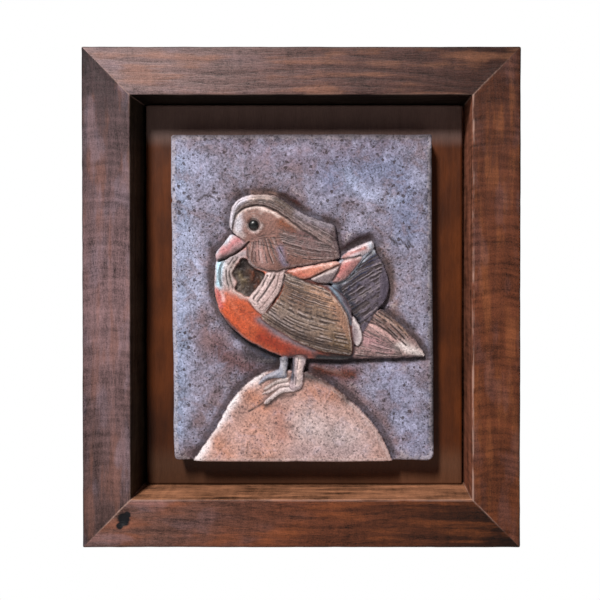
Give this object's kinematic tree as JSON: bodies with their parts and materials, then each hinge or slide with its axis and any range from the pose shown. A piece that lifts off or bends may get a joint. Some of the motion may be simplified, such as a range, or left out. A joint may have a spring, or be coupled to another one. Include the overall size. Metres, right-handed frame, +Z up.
{
  "type": "decorative wall panel",
  "caption": "Wall panel: fired clay relief of a mandarin duck on a rock, fixed to a board set deep in a mitred, dark stained pine frame.",
  "frame": {"origin": "middle of the top rail's flat back face, on the wall plane", "axes": "+Z up, +Y into the wall, the front faces -Y, +X to the viewer's right"},
  "size_m": [0.28, 0.0453, 0.32],
  "materials": {
    "stained_pine": "dark walnut stain, satin, grain showing",
    "board_wood": "red-brown stain, satin",
    "fired_clay": "matt grogged clay washed with oxides, with thin coloured glazes on the duck"
  },
  "bodies": {
    "root": {"frame_top_rail": "stained_pine", "frame_bottom_rail": "stained_pine", "frame_left_stile": "stained_pine", "frame_right_stile": "stained_pine", "backing_board": "board_wood", "relief_tile": "fired_clay"}
  },
  "joints": []
}
